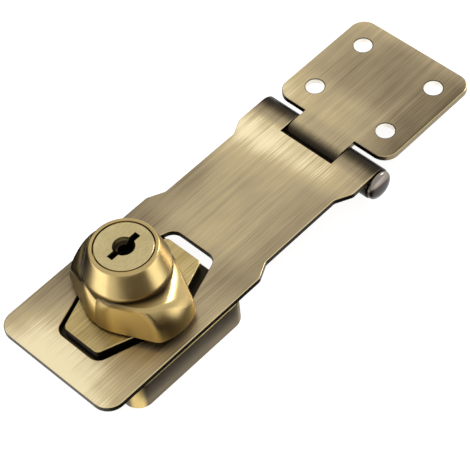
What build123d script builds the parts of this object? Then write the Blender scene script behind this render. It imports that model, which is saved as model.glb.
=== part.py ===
"""Keyed hasp lock: hinged strap, cast base, wing knob with a wafer cylinder.

Millimetres, +Z away from the mounting surface, +X along the strap to the hinge.
The origin is the knob's axis at the base's underside.
"""
import math
import os

from build123d import *

os.makedirs("parts", exist_ok=True)

# Driving sizes: sheet metal
SHEET = 1.5
STRAP_SIDE_LIP = 0.05
STRAP_END_X = -26.8
STRAP_CORNER_R = 4.5
NECK_W = 33.6
NECK_X0 = 23.3
NECK_X1 = 27.8
NECK_X2 = 52.3
NECK_X3 = 56.7
SLOT_X0 = -18.6
SLOT_X1 = 20.8
SLOT_END_W = 13.6
SLOT_MID_W = 27.0
SLOT_CORNER_R = 3.0
EDGE_R = 0.3

# Driving sizes: hinge
PIN_X = 65.4
BARREL_R = 4.2
PIN_GAP = 0.08
HEAD_R = 3.9
HEAD_H = 1.9
HEAD_GAP = 0.3
TONGUE_W = 16.3
TONGUE_GAP = 0.3
NOTCH_X = 60.6
CURL_OPEN_DEG = 56.0

# Driving sizes: leaf
LEAF_X0 = 69.7
TONGUE_THIN = 0.05
LEAF_X1 = 103.75
LEAF_W = 37.3
LEAF_CORNER_R = 4.2
LEAF_HOLE_X = 86.65
LEAF_HOLE_DX = 18.7
LEAF_HOLE_DY = 23.5
LEAF_HOLE_D = 4.8

# Driving sizes: base
BLOCK_H = 8.5
BLOCK_L = 36.8
BLOCK_W = 37.9
BLOCK_CORNER_R = 4.2
BLOCK_TOP_R = 0.8
BLOCK_WALL = 2.2
BLOCK_ROOF = 2.5
BOSS_L = 34.54
BOSS_END_W = 11.2
BOSS_MID_W = 24.3
BOSS_CORNER_R = 1.6
BOSS_TOP_Z = 11.2
BASE_HOLE_DX = 27.0
BASE_HOLE_DY = 28.4
BASE_HOLE_D = 4.3
BASE_SINK_D = 8.2
COLUMN_R = 4.1
RING_R = 12.7
RING_BOTTOM_Z = 4.0

# Driving sizes: knob
NECK_R = 9.0
RUN_GAP = 0.08
KNOB_Z0 = 11.8
KNOB_TOP_Z = 29.6
WING_TOP_Z = 21.8
WING_FALL_DEG = 4.0
WING_FLAT_R = 12.1
WING_ANGLE_DEG = 24.6
WING_REACH = 16.8
WING_CORNER_Y = 15.1
WING_DRAFT_DEG = 6.5
WING_CUT = ((0.8, -13.4, 20.8), (9.25, -5.2, 21.8), (6.1, -14.2, 15.8))
WING_CREASE_R = 5.0
WING_RIM_R = 1.5
COLLAR_FOOT_R = 10.5
COLLAR_FOOT_Z = 23.0
COLLAR_TOP_R = 8.25
BORE_R = 7.33
NECK_END_Z = 2.0

# Driving sizes: cylinder and bolt
SHELL_R = 7.25
SHELL_Z0 = 9.4
SHELL_TOP_GAP = 0.3
PLUG_HEAD_R = 7.02
PLUG_HEAD_H = 1.4
PLUG_R = 5.6
PLUG_END_Z = 9.1
KEYWAY_L = 9.2
KEYWAY_W = 1.7
KEYWAY_DIMPLE_R = 2.7
WAFER_N = 5
WAFER_PITCH = 2.6
WAFER_TOP_GAP = 3.0
WAFER_T = 0.8
WAFER_W = 4.6
WAFER_SLOT_GAP = 0.05
WAFER_TRAVEL = 0.6
LUG_X0 = 0.2
LUG_X1 = 1.1
LUG_Y = 3.7
SPRING_X0 = -2.55
SPRING_R = 0.55
SPRING_WIRE_R = 0.14
SPRING_L = 2.4
CAM_R = 6.3
CAM_T = 0.8
CAM_CHAMBER_R = 6.8
CAM_CHAMBER_Z = 8.0
CAM_PIN_R = 1.0
CAM_PIN_E = 2.0
CAM_TAIL = 3.0
BOLT_Z0 = 5.0
BOLT_T = 2.0
BOLT_W = 8.4
BOLT_TIP_W = 5.0
BOLT_TIP_X = -8.4
BOLT_FRONT_X = -4.6
BOLT_BACK_X = 5.0
BOLT_TRAVEL = 2.83
BOLT_GAP = 0.1
PIN_SLOT_GAP = 0.38
STOP_R = 0.75
STOP_Z = 10.4
STOP_IN_R = 6.5
STOP_OUT_R = 10.0
STOP_DEG = -45.0
TURN_DEG = 90.0
CLIP_T = 0.8
CLIP_Z0 = 2.4
CLIP_GROOVE_R = 8.2
CLIP_OUT_R = 10.3
WASHER_T = 0.5
WASHER_OUT_R = 11.8

# Derived sizes and levels
STRAP_W = BLOCK_W + 2 * STRAP_SIDE_LIP
STRAP_Z0 = BLOCK_H
STRAP_Z1 = BLOCK_H + SHEET
PIN_Z = STRAP_Z1 - BARREL_R
CURL_R = BARREL_R - SHEET
SHELL_Z1 = KNOB_TOP_Z - PLUG_HEAD_H - SHELL_TOP_GAP
WAFER_Z0 = KNOB_TOP_Z - PLUG_HEAD_H - WAFER_TOP_GAP - (WAFER_N - 1) * WAFER_PITCH - WAFER_T
HEX_MID_X = (SLOT_X0 + SLOT_X1) / 2


def hexagon(x0, x1, end_w, mid_w, corner_r):
    """Elongated hexagon with rounded corners, as a sketch."""
    mid = (x0 + x1) / 2
    pts = [(x0, -end_w / 2), (mid, -mid_w / 2), (x1, -end_w / 2),
           (x1, end_w / 2), (mid, mid_w / 2), (x0, end_w / 2)]
    face = Polygon(*pts, align=None)
    return fillet(face.vertices(), corner_r)


def prism(face, z0, z1):
    """Sketch on XY extruded from z0 to z1."""
    return extrude(Pos(0, 0, z0) * face, z1 - z0)


def disc(r, z0, z1, x=0.0, y=0.0):
    """Upright round solid between two levels."""
    return Pos(x, y, (z0 + z1) / 2) * Cylinder(r, z1 - z0)


def block(x0, x1, y0, y1, z0, z1):
    """Box between limits."""
    return Pos((x0 + x1) / 2, (y0 + y1) / 2, (z0 + z1) / 2) * Box(x1 - x0, y1 - y0, z1 - z0)


def curl(side, y0, y1):
    """Knuckle rolled from the flat on one side (-1 or 1 in X), open beside that flat."""
    tube = Cylinder(BARREL_R, y1 - y0) - Cylinder(CURL_R, y1 - y0)
    tube = Pos(PIN_X, (y0 + y1) / 2, PIN_Z) * (Rot(90, 0, 0) * tube)
    reach = 3 * BARREL_R
    span = math.radians(CURL_OPEN_DEG)
    pts = [(0, 0), (0, reach)]
    pts.append((side * reach * math.sin(span / 2), reach * math.cos(span / 2)))
    pts.append((side * reach * math.sin(span), reach * math.cos(span)))
    plane = Plane(origin=(PIN_X, y1, PIN_Z), x_dir=(1, 0, 0), z_dir=(0, -1, 0))
    wedge = extrude(plane * Polygon(*pts, align=None), y1 - y0)
    return tube - wedge


def save(shape, name):
    """Write one node."""
    export_step(shape, f"parts/{name}.step")


# Strap: flat plate, waist, slot, notch and two outer knuckles
half = STRAP_W / 2
waist = NECK_W / 2
outline = [(STRAP_END_X, -half), (NECK_X0, -half), (NECK_X1, -waist), (NECK_X2, -waist),
           (NECK_X3, -half), (PIN_X, -half), (PIN_X, half), (NECK_X3, half), (NECK_X2, waist),
           (NECK_X1, waist), (NECK_X0, half), (STRAP_END_X, half)]
plate = Polygon(*outline, align=None)
ends = plate.vertices().sort_by(Axis.X)[:2]
plate = fillet(ends, STRAP_CORNER_R)
steps = [v for v in plate.vertices() if NECK_X0 - 1 < v.X < NECK_X3 + 1]
plate = fillet(steps, 2.0)
plate -= hexagon(SLOT_X0, SLOT_X1, SLOT_END_W, SLOT_MID_W, SLOT_CORNER_R)
notch_half = TONGUE_W / 2 + TONGUE_GAP
plate -= Pos((NOTCH_X + PIN_X + 5) / 2, 0) * Rectangle(PIN_X + 5 - NOTCH_X, 2 * notch_half)
strap = prism(plate, STRAP_Z0, STRAP_Z1)
strap += curl(-1, notch_half, half)
strap += curl(-1, -half, -notch_half)
rim = [e for e in strap.edges().filter_by(lambda e: abs(e.center().Z - STRAP_Z1) < 1e-4)
       if e.center().X < PIN_X - 1.0 and e.length > 0.5]
strap = fillet(rim, EDGE_R)
save(strap, "strap")

# Leaf: plate with four holes, tongue and middle knuckle
leaf_half = LEAF_W / 2
plate = Pos((LEAF_X0 + LEAF_X1) / 2, 0) * Rectangle(LEAF_X1 - LEAF_X0, LEAF_W)
plate = fillet(plate.vertices(), LEAF_CORNER_R)
tongue = Pos((PIN_X + LEAF_X0 + 2) / 2, 0) * Rectangle(LEAF_X0 + 2 - PIN_X, TONGUE_W)
for sx in (-1, 1):
    for sy in (-1, 1):
        plate -= Pos(LEAF_HOLE_X + sx * LEAF_HOLE_DX / 2, sy * LEAF_HOLE_DY / 2) * Circle(LEAF_HOLE_D / 2)
leaf = prism(plate, STRAP_Z0, STRAP_Z1)
leaf = fillet(leaf.edges().group_by(Axis.Z)[-1], EDGE_R)
leaf += prism(tongue, STRAP_Z0 + TONGUE_THIN, STRAP_Z1)
leaf += curl(1, -TONGUE_W / 2, TONGUE_W / 2)
save(leaf, "hinge_leaf")

# Hinge pin with a domed head at each end
pin_r = CURL_R - PIN_GAP
head_y = half + HEAD_GAP
head = fillet(Cylinder(HEAD_R, HEAD_H).edges().group_by(Axis.Z)[-1], HEAD_H - 0.4)
head = Pos(0, 0, head_y + HEAD_H / 2) * head
shank = Cylinder(pin_r, 2 * head_y + 0.2) + head + Rot(180, 0, 0) * head
hinge_pin = Pos(PIN_X, 0, PIN_Z) * (Rot(90, 0, 0) * shank)
save(hinge_pin, "hinge_pin")

# Base: cast block with boss, bored for the knob
block_face = fillet(Rectangle(BLOCK_L, BLOCK_W).vertices(), BLOCK_CORNER_R)
base = prism(block_face, 0, BLOCK_H)
top_rim = base.edges().group_by(Axis.Z)[-1]
base = fillet(top_rim, BLOCK_TOP_R)
hollow = fillet(Rectangle(BLOCK_L - 2 * BLOCK_WALL, BLOCK_W - 2 * BLOCK_WALL).vertices(), BLOCK_CORNER_R - BLOCK_WALL)
cavity = prism(hollow, 0, BLOCK_H - BLOCK_ROOF)
cavity -= disc(RING_R, RING_BOTTOM_Z, BLOCK_H)
holes = [(sx * BASE_HOLE_DX / 2, sy * BASE_HOLE_DY / 2) for sx in (-1, 1) for sy in (-1, 1)]
for x, y in holes:
    cavity -= disc(COLUMN_R, 0, BLOCK_H, x, y)
base -= cavity
boss_half_l = BOSS_L / 2
boss = prism(hexagon(-boss_half_l, boss_half_l, BOSS_END_W, BOSS_MID_W, BOSS_CORNER_R), BLOCK_H - 0.5, BOSS_TOP_Z)
boss_top = boss.edges().group_by(Axis.Z)[-1]
boss = fillet(boss_top, 0.25)
base += boss
sink_h = (BASE_SINK_D - BASE_HOLE_D) / 2
for x, y in holes:
    base -= disc(BASE_HOLE_D / 2, -1, BLOCK_H + 1, x, y)
    base -= Pos(x, y, BLOCK_H - sink_h / 2 + 0.005) * Cone(BASE_HOLE_D / 2, BASE_SINK_D / 2, sink_h + 0.01)
base -= disc(NECK_R + RUN_GAP, -1, BOSS_TOP_Z + 1)

# Notches for the bolt at both knob positions, and the stop pin's groove
notch_w = BOLT_TIP_W + 2 * 0.4
notch_r = -BOLT_TIP_X + BOLT_TRAVEL + 0.4
notch = block(-notch_r, 0, -notch_w / 2, notch_w / 2, BOLT_Z0 - 0.3, BOLT_Z0 + BOLT_T + 0.3)
base -= notch
base -= Rot(0, 0, TURN_DEG) * notch
stop_margin = math.degrees((STOP_R + 0.4) / (NECK_R + 0.3))
groove = disc(STOP_OUT_R + 0.3, STOP_Z - STOP_R - 0.3, BOSS_TOP_Z + 1)
a0 = math.radians(STOP_DEG - stop_margin)
a1 = math.radians(STOP_DEG + TURN_DEG + stop_margin)
fan = [(0, 0)] + [(30 * math.cos(a0 + (a1 - a0) * i / 4), 30 * math.sin(a0 + (a1 - a0) * i / 4)) for i in range(5)]
base -= groove & prism(Polygon(*fan, align=None), 0, BOSS_TOP_Z + 2)
save(base, "base_housing")

# Knob: two swept wings, collar and neck in one casting
rad = math.radians(WING_ANGLE_DEG)
nx = math.cos(rad)
ny = math.sin(rad)
tan_x = WING_FLAT_R * nx
tan_y = WING_FLAT_R * ny
cor_x = (WING_FLAT_R - ny * WING_CORNER_Y) / nx
cy = WING_CORNER_Y
loop = Line((tan_x, tan_y), (cor_x, cy))
loop += ThreePointArc((cor_x, cy), (0, WING_REACH), (-cor_x, cy))
loop += Line((-cor_x, cy), (-tan_x, tan_y))
loop += ThreePointArc((-tan_x, tan_y), (-WING_FLAT_R, 0), (-tan_x, -tan_y))
loop += Line((-tan_x, -tan_y), (-cor_x, -cy))
loop += ThreePointArc((-cor_x, -cy), (0, -WING_REACH), (cor_x, -cy))
loop += Line((cor_x, -cy), (tan_x, -tan_y))
loop += ThreePointArc((tan_x, -tan_y), (WING_FLAT_R, 0), (tan_x, tan_y))
lozenge = make_face(loop)
lozenge = fillet([v for v in lozenge.vertices() if abs(v.Y) > cy - 0.5], 1.6)
body = extrude(Pos(0, 0, KNOB_Z0) * lozenge, WING_TOP_Z + 1 - KNOB_Z0, taper=WING_DRAFT_DEG)
wing = body & block(-20, 20, -20, 0, 0, 60)
edge_r = WING_FLAT_R - (WING_TOP_Z - KNOB_Z0) * math.tan(math.radians(WING_DRAFT_DEG))
cap = Pos(-edge_r, 0, WING_TOP_Z) * (Rot(0, WING_FALL_DEG, 0) * block(-20, 60, -40, 40, 0, 30))
wing -= Rot(0, 0, WING_ANGLE_DEG) * cap
high, inner, low = [Vector(*p) for p in WING_CUT]
cut_dir = (inner - high).cross(low - high)
if cut_dir.Z < 0:
    cut_dir = cut_dir * -1
cut = Plane(origin=high, x_dir=inner - high, z_dir=cut_dir)
wing -= cut * block(-60, 60, -60, 60, 0, 30)
crease = [e for e in wing.edges().filter_by(GeomType.LINE)
          if e.center().X > 1 and e.center().Z > WING_TOP_Z - 1.5 and e.center().Y < -cy / 2]
wing = fillet(crease, WING_CREASE_R)
rim = [e for e in wing.edges() if e.center().Y < 1.6 - cy and e.center().Z > KNOB_Z0 + 2.7
       and abs(e.center().X) < cor_x - 0.1 and e.geom_type != GeomType.LINE]
wing = fillet(rim, WING_RIM_R)
knob = wing + Rot(0, 0, 180) * wing
knob += disc(COLLAR_FOOT_R, KNOB_Z0, COLLAR_FOOT_Z)
knob += Pos(0, 0, (COLLAR_FOOT_Z + KNOB_TOP_Z) / 2) * Cone(COLLAR_FOOT_R, COLLAR_TOP_R, KNOB_TOP_Z - COLLAR_FOOT_Z)
knob = fillet(knob.edges().group_by(Axis.Z)[-1], 0.35)
knob += disc(NECK_R, NECK_END_Z, KNOB_Z0 + 1)
knob -= disc(BORE_R, SHELL_Z0, KNOB_TOP_Z + 1)
knob -= disc(CAM_CHAMBER_R, CAM_CHAMBER_Z, SHELL_Z0 + 1)
knob -= disc(CAM_PIN_E + CAM_PIN_R + 0.35, BOLT_Z0, CAM_CHAMBER_Z + 1)
wide_x0 = BOLT_FRONT_X - BOLT_TRAVEL - BOLT_GAP - 0.3
knob -= block(wide_x0, 20, -BOLT_W / 2 - BOLT_GAP, BOLT_W / 2 + BOLT_GAP, BOLT_Z0 - BOLT_GAP, BOLT_Z0 + BOLT_T + BOLT_GAP)
knob -= block(-20, 0, -BOLT_TIP_W / 2 - BOLT_GAP, BOLT_TIP_W / 2 + BOLT_GAP, BOLT_Z0 - BOLT_GAP, BOLT_Z0 + BOLT_T + BOLT_GAP)
knob -= disc(NECK_R + 1, CLIP_Z0, CLIP_Z0 + CLIP_T) - disc(CLIP_GROOVE_R, CLIP_Z0, CLIP_Z0 + CLIP_T)
stop_hole = Rot(0, 0, STOP_DEG) * (Pos(0, 0, STOP_Z) * (Rot(0, 90, 0) * Cylinder(STOP_R, 20, align=(Align.CENTER, Align.CENTER, Align.MIN))))
knob -= stop_hole
save(knob, "knob")

# Stop pin: holds the shell and ends the knob's turn
stop_len = STOP_OUT_R - STOP_IN_R
stop_pin = Rot(0, 0, STOP_DEG) * (Pos(STOP_IN_R + stop_len / 2, 0, STOP_Z) * (Rot(0, 90, 0) * Cylinder(STOP_R - 0.02, stop_len)))
save(stop_pin, "stop_pin")

# Washer and snap ring under the base
washer = disc(WASHER_OUT_R, CLIP_Z0 + CLIP_T, CLIP_Z0 + CLIP_T + WASHER_T)
washer -= disc(NECK_R + 0.1, 0, 20)
save(washer, "neck_washer")
ring = disc(CLIP_OUT_R, CLIP_Z0, CLIP_Z0 + CLIP_T) - disc(CLIP_GROOVE_R, 0, 20)
ring -= block(0, 20, -2.4, 2.4, 0, 20)
save(ring, "snap_ring")

# Cylinder shell
shell = disc(SHELL_R, SHELL_Z0, SHELL_Z1) - disc(PLUG_R + RUN_GAP, 0, 40)
shell -= stop_hole
slot_z0 = WAFER_Z0 - 1.0
slot_z1 = WAFER_Z0 + (WAFER_N - 1) * WAFER_PITCH + WAFER_T + 1.0
groove = block(-6.6, 6.6, -WAFER_W / 2 - 0.3, WAFER_W / 2 + 0.3, slot_z0, slot_z1)
shell -= groove
shell -= Rot(0, 0, 90) * groove
save(shell, "cylinder_shell")

# Plug with keyway, wafer slots and tail
plug = disc(PLUG_R, PLUG_END_Z, KNOB_TOP_Z - PLUG_HEAD_H + 0.2)
plug += disc(PLUG_HEAD_R, KNOB_TOP_Z - PLUG_HEAD_H, KNOB_TOP_Z)
plug = fillet(plug.edges().group_by(Axis.Z)[-1], 0.2)
plug -= block(-KEYWAY_L / 2, KEYWAY_L / 2, -KEYWAY_W / 2, KEYWAY_W / 2, WAFER_Z0 - 2, KNOB_TOP_Z + 1)
plug -= Pos(0, 0, KNOB_TOP_Z + 0.6) * Sphere(KEYWAY_DIMPLE_R + 0.08)
plug -= disc(KEYWAY_DIMPLE_R * 0.62, KNOB_TOP_Z - 3.2, KNOB_TOP_Z)
for i in range(WAFER_N):
    z0 = WAFER_Z0 + i * WAFER_PITCH
    plug -= block(-8, 8, -WAFER_W / 2 - WAFER_SLOT_GAP, WAFER_W / 2 + WAFER_SLOT_GAP, z0 - WAFER_SLOT_GAP, z0 + WAFER_T + WAFER_SLOT_GAP)
    plug -= block(SPRING_X0 - 0.35, LUG_X1 + WAFER_TRAVEL + 0.3, 0, LUG_Y + 0.3, z0 - 0.25, z0 + WAFER_T + 0.25)
tail = block(-CAM_TAIL / 2, CAM_TAIL / 2, -CAM_TAIL / 2, CAM_TAIL / 2, PLUG_END_Z - CAM_T, PLUG_END_Z + 0.5)
plug += tail
save(plug, "plug")

# Tail cam with its eccentric pin
cam = disc(CAM_R, PLUG_END_Z - CAM_T, PLUG_END_Z)
e45 = CAM_PIN_E * math.cos(math.pi / 4)
cam += disc(CAM_PIN_R, BOLT_Z0 + 0.2, PLUG_END_Z - CAM_T + 0.2, e45, e45)
cam -= tail
save(cam, "tail_cam")

# Locking bolt
bolt = block(BOLT_FRONT_X, BOLT_BACK_X, -BOLT_W / 2, BOLT_W / 2, BOLT_Z0, BOLT_Z0 + BOLT_T)
bolt += block(BOLT_TIP_X, BOLT_FRONT_X + 1, -BOLT_TIP_W / 2, BOLT_TIP_W / 2, BOLT_Z0, BOLT_Z0 + BOLT_T)
reach = CAM_PIN_R + PIN_SLOT_GAP
bolt -= block(e45 - reach, e45 + reach, e45 - reach, CAM_PIN_E + reach, 0, 20)
save(bolt, "locking_bolt")

# Wafers and their springs
for i in range(WAFER_N):
    z0 = WAFER_Z0 + i * WAFER_PITCH
    wafer = block(-8, 8, -WAFER_W / 2, WAFER_W / 2, z0, z0 + WAFER_T) & disc(PLUG_R - 0.05, z0, z0 + WAFER_T)
    wafer += block(LUG_X0, LUG_X1, 0, LUG_Y, z0, z0 + WAFER_T)
    low = -3.4 + 0.35 * (i % 3)
    wafer -= block(low, low + 6.6, -KEYWAY_W / 2 - 0.1, KEYWAY_W / 2 + 0.1, 0, 40)
    save(wafer, f"wafer_{i + 1}")
    helix = Helix(pitch=SPRING_L / 4, height=SPRING_L, radius=SPRING_R - SPRING_WIRE_R)
    wire = Plane(origin=helix @ 0, z_dir=helix % 0) * Circle(SPRING_WIRE_R)
    spring = sweep(wire, path=helix)
    spring = Pos(SPRING_X0, LUG_Y - 0.6, z0 + WAFER_T / 2) * (Rot(0, 90, 0) * spring)
    save(spring, f"wafer_spring_{i + 1}")
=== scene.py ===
import logging
from dataclasses import dataclass
from enum import Enum
from typing import Any, Dict, List, Optional, Sequence, Tuple

import bmesh
import bpy
import numpy as np
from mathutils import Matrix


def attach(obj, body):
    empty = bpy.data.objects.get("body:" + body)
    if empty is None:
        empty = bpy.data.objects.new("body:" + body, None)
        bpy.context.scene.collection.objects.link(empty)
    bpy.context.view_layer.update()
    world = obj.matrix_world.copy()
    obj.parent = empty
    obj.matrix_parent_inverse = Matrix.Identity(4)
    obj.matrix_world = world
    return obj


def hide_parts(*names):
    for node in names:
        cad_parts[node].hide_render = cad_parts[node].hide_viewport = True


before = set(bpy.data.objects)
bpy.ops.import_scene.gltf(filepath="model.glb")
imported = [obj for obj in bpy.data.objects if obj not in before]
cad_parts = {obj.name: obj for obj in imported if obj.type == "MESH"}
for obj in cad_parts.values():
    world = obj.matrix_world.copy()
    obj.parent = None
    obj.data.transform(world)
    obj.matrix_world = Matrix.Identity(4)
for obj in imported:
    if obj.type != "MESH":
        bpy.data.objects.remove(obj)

logging.basicConfig(level=logging.INFO, format="%(message)s")
log = logging.getLogger("hasp")

MM = 0.001
Colour = Tuple[float, float, float, float]
Pair = Tuple[float, float]
Triple = Tuple[float, float, float]
Array = np.ndarray
Arrays = Tuple[np.ndarray, np.ndarray]
Material = bpy.types.Material
Node = bpy.types.Node
Socket = bpy.types.NodeSocket
Tree = bpy.types.NodeTree

# Settings that many nodes share.
ADD = {"operation": "ADD"}
SUBTRACT = {"operation": "SUBTRACT"}
MULTIPLY = {"operation": "MULTIPLY"}
MULTIPLY_ADD = {"operation": "MULTIPLY_ADD"}
MAXIMUM = {"operation": "MAXIMUM"}
ABSOLUTE = {"operation": "ABSOLUTE"}
RGBA = {"data_type": "RGBA"}
SMOOTHSTEP = {"interpolation_type": "SMOOTHSTEP"}
EASE = {"interpolation": "EASE"}
LINEAR = {"interpolation": "LINEAR"}


class Stand(Enum):
    """How a rectangle of the stage stands."""

    FLAT = "flat"
    UPRIGHT = "upright"


def srgb(code: str) -> Colour:
    """Turn an sRGB hex colour into the linear colour that a shader takes.

    Args:
        code: Colour such as "#C9B26A".

    Returns:
        Linear red, green, blue and an alpha of 1.
    """
    raw = np.array([int(code[i:i + 2], 16) / 255 for i in (1, 3, 5)])
    linear = np.where(raw <= 0.04045, raw / 12.92, ((raw + 0.055) / 1.055) ** 2.4)
    return float(linear[0]), float(linear[1]), float(linear[2]), 1.0


def grey(value: float) -> Colour:
    """Linear grey of one value."""
    return value, value, value, 1.0


def new_material(name: str) -> Tuple[Material, Tree]:
    """Make a material with an empty node tree.

    Args:
        name: Name of the material.

    Returns:
        The material and its tree.
    """
    material = bpy.data.materials.new(name)
    material.use_nodes = True
    material.node_tree.nodes.clear()
    return material, material.node_tree


def add_node(tree: Tree, kind: str, settings: Optional[Dict[str, Any]] = None,
             inputs: Optional[Dict[Any, Any]] = None,
             stops: Sequence[Tuple[float, Colour]] = ()) -> Node:
    """Add one node, set its options and fill or link its inputs.

    Args:
        tree: Node tree that takes the node.
        kind: Blender's name of the node type, without its "ShaderNode".
        settings: Options by attribute name, of the node or else of its row of colours.
        inputs: Values, or what to link from, by input name or number. A node stands for its
            first output.
        stops: Place and linear colour of each colour in its row, where it has one.

    Returns:
        The new node.
    """
    node = tree.nodes.new("ShaderNode" + kind)
    owner = node.color_ramp if stops else node
    for name, value in (settings or {}).items():
        setattr(owner, name, value)
    for key, value in (inputs or {}).items():
        value = value.outputs[0] if isinstance(value, Node) else value
        if isinstance(value, Socket):
            tree.links.new(value, node.inputs[key])
        else:
            node.inputs[key].default_value = value
    colours = node.color_ramp.elements if stops else ()
    while len(colours) < len(stops):
        colours.new(0.5)
    for element, (place, _) in zip(colours, stops):
        element.position = place
    for element, (_, colour) in zip(colours, stops):
        element.color = colour
    return node


def drawn_noise(tree: Tree, place: Socket, size_mm: Triple, detail: float, roughness: float,
                shift: Triple = (0.0, 0.0, 0.0)) -> Socket:
    """Draw a noise out to its own size along X, Y and Z.

    Args:
        tree: Node tree that takes the nodes.
        place: Object coordinates.
        size_mm: Size of its marks along each axis.
        detail: Number of finer layers.
        roughness: Strength of those.
        shift: Move that keeps it apart from others.

    Returns:
        Noise from 0 to 1.
    """
    spread = add_node(tree, "Mapping", inputs={
        "Vector": place, "Location": shift, "Scale": [1 / (size * MM) for size in size_mm]})
    noise = add_node(tree, "TexNoise", inputs={
        "Vector": spread, "Scale": 1.0, "Detail": detail, "Roughness": roughness})
    return noise.outputs["Fac"]


def grazing_shade(tree: Tree, colour: Socket, shade: str, finish: Any) -> Socket:
    """Darken a plated surface where it turns away from the eye.

    The darkening is painted shade laid into the colour at a grazing angle, which rounds
    every form.

    Args:
        tree: Node tree that takes the nodes.
        colour: Colour seen straight on.
        shade: Colour of the painted grazing shade.
        finish: Finish that gives the shade's strength and its span, from 0 for straight on
            to 1 for edge on.

    Returns:
        The colour socket.
    """
    weight = add_node(tree, "LayerWeight", inputs={"Blend": 0.5})
    amount = add_node(tree, "MapRange", SMOOTHSTEP, {
        "Value": weight.outputs["Facing"], "From Min": finish.grazing_span[0],
        "From Max": finish.grazing_span[1], "To Max": finish.grazing})
    mix = add_node(tree, "Mix", RGBA, {0: amount, 6: colour, 7: srgb(shade)})
    return mix.outputs[2]


def seen_by_eye(tree: Tree) -> Socket:
    """Tell rays from the camera, a mirror or glass from the light that falls on things.

    Args:
        tree: Node tree that takes the nodes.

    Returns:
        1 for the first three and 0 for the last.
    """
    path = add_node(tree, "LightPath")
    seen = add_node(tree, "Math", MAXIMUM, {
        0: path.outputs["Is Camera Ray"], 1: path.outputs["Is Glossy Ray"]})
    seen = add_node(tree, "Math", MAXIMUM, {0: seen, 1: path.outputs["Is Transmission Ray"]})
    return seen.outputs[0]


def finish_metal(tree: Tree, colour: Socket, pattern: Socket, finish: Any,
                 duller: Optional[Socket] = None) -> None:
    """End a metal's node tree with its roughness, its bump, its shader and the output.

    Args:
        tree: Node tree that takes the nodes.
        colour: Colour of the metal.
        pattern: Lines that stand proud and are rougher. A bump of 1 is 0.1 mm high.
        finish: Finish that gives the roughness, its spread and the bump.
        duller: Where the finish's side_rougher is added.
    """
    rough = add_node(tree, "MapRange", inputs={
        "Value": pattern, "From Min": 0.25, "From Max": 0.75,
        "To Min": finish.roughness + finish.rough_spread[0],
        "To Max": finish.roughness + finish.rough_spread[1]})
    if duller is not None:
        rough = add_node(tree, "Math", MULTIPLY_ADD, {0: duller, 1: finish.side_rougher, 2: rough})
    relief = add_node(tree, "Bump", inputs={
        "Height": pattern, "Strength": finish.bump, "Distance": 0.1 * MM})
    shader = add_node(tree, "BsdfPrincipled", inputs={
        "Base Color": colour, "Metallic": 1.0, "Roughness": rough, "Normal": relief})
    add_node(tree, "OutputMaterial", inputs={0: shader})


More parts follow.
